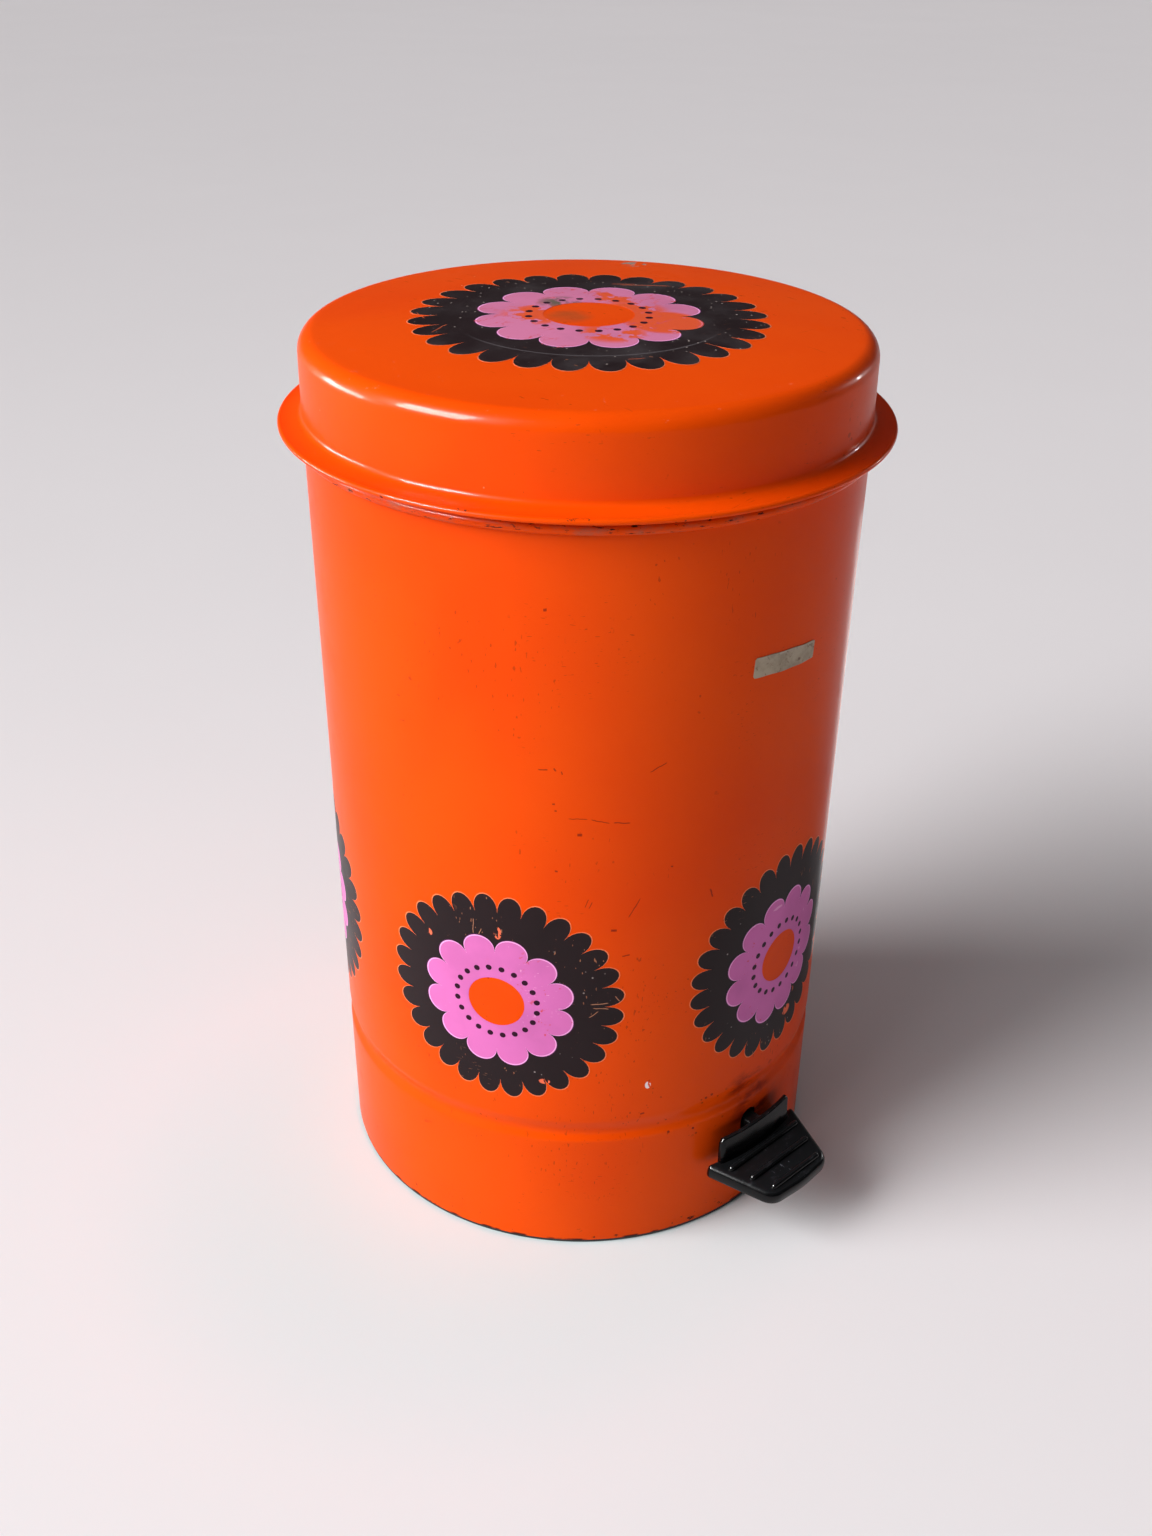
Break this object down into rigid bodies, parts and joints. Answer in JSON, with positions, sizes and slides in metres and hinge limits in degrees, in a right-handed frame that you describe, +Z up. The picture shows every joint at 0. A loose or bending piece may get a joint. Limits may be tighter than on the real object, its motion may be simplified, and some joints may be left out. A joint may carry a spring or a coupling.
{
  "type": "pedal trash can",
  "caption": "Round steel pedal bin: conical enamelled body, domed hinged lid raised by a foot pedal through a push rod, and a lift-out bucket with a bail.",
  "frame": {"origin": "on the can's axis, in the plane of the floor it stands on", "axes": "+Z up along the can's axis, -Y towards the pedal, +Y towards the lid hinge, +X to the right of a user who faces the hinge from the pedal side"},
  "size_m": [0.275, 0.3012, 0.4305],
  "materials": {
    "orange_enamel": "glossy orange enamel with printed flower rosettes, lightly worn",
    "base_enamel": "orange enamel, dusty underside",
    "black_ring": "black pressed-on edge ring",
    "blank_label": "worn silver-grey foil label, blank",
    "zinc_plate": "zinc plated pressed steel",
    "zinc_fixings": "zinc plated rivets, pins and clips",
    "zinc_wire": "drawn zinc plated wire",
    "black_moulding": "black nylon",
    "rubber_buffers": "black rubber",
    "black_pedal": "black moulded plastic, semi-gloss, scuffed on the ribs",
    "galvanised_sheet": "galvanised sheet steel with spangle"
  },
  "bodies": {
    "can": {"outer_body": "orange_enamel", "base_plate": "base_enamel", "floor_ring": "black_ring", "maker_label": "blank_label", "body_hinge_bracket": "zinc_plate", "body_hinge_rivets": "zinc_fixings", "hinge_pin": "zinc_fixings", "hinge_pin_clip": "zinc_fixings", "rod_guide": "black_moulding", "lever_bracket": "zinc_plate", "lever_bracket_rivets": "zinc_fixings", "lever_pivot_pin": "zinc_fixings", "lever_pivot_clip": "zinc_fixings"},
    "lid_assembly": {"lid": "orange_enamel", "lid_buffers": "rubber_buffers", "lid_hinge_bracket": "zinc_plate", "lid_crank": "zinc_plate", "lid_rivets": "zinc_fixings"},
    "rod_assembly": {"push_rod": "zinc_wire", "push_rod_cap": "black_moulding", "push_rod_clip": "zinc_fixings"},
    "pedal_assembly": {"pedal_lever": "zinc_plate", "pedal_pad": "black_pedal", "pedal_screw": "zinc_fixings"},
    "bucket_assembly": {"inner_bucket": "galvanised_sheet", "bucket_ears": "zinc_plate", "bucket_ear_rivets": "zinc_fixings"},
    "bail": {"bucket_bail": "zinc_wire"}
  },
  "joints": [
    {"name": "lid_hinge", "type": "hinge", "parent": "can", "child": "lid_assembly", "pos_m": [0, 0.136, 0.378], "axis": [-1, 0, 0], "range_deg": [0, 73.2]},
    {"name": "rod_slide", "type": "slide", "parent": "can", "child": "rod_assembly", "axis": [0, 0, 1], "range_m": [0, 0.0346]},
    {"name": "pedal_hinge", "type": "hinge", "parent": "can", "child": "pedal_assembly", "pos_m": [0, -0.04, 0.036], "axis": [1, 0, 0], "range_deg": [0, 13.1]},
    {"name": "bucket_lift", "type": "slide", "parent": "can", "child": "bucket_assembly", "axis": [0, 0, 1], "range_m": [0, 0.02]},
    {"name": "bail_hinge", "type": "hinge", "parent": "bucket_assembly", "child": "bail", "pos_m": [0, 0, 0.37205], "axis": [-1, 0, 0], "range_deg": [0, 18]}
  ],
  "couplings": [
    {"joint": "rod_slide", "follows": "lid_hinge", "m_per_rad": 0.027081},
    {"joint": "pedal_hinge", "follows": "lid_hinge", "ratio": 0.17896}
  ]
}
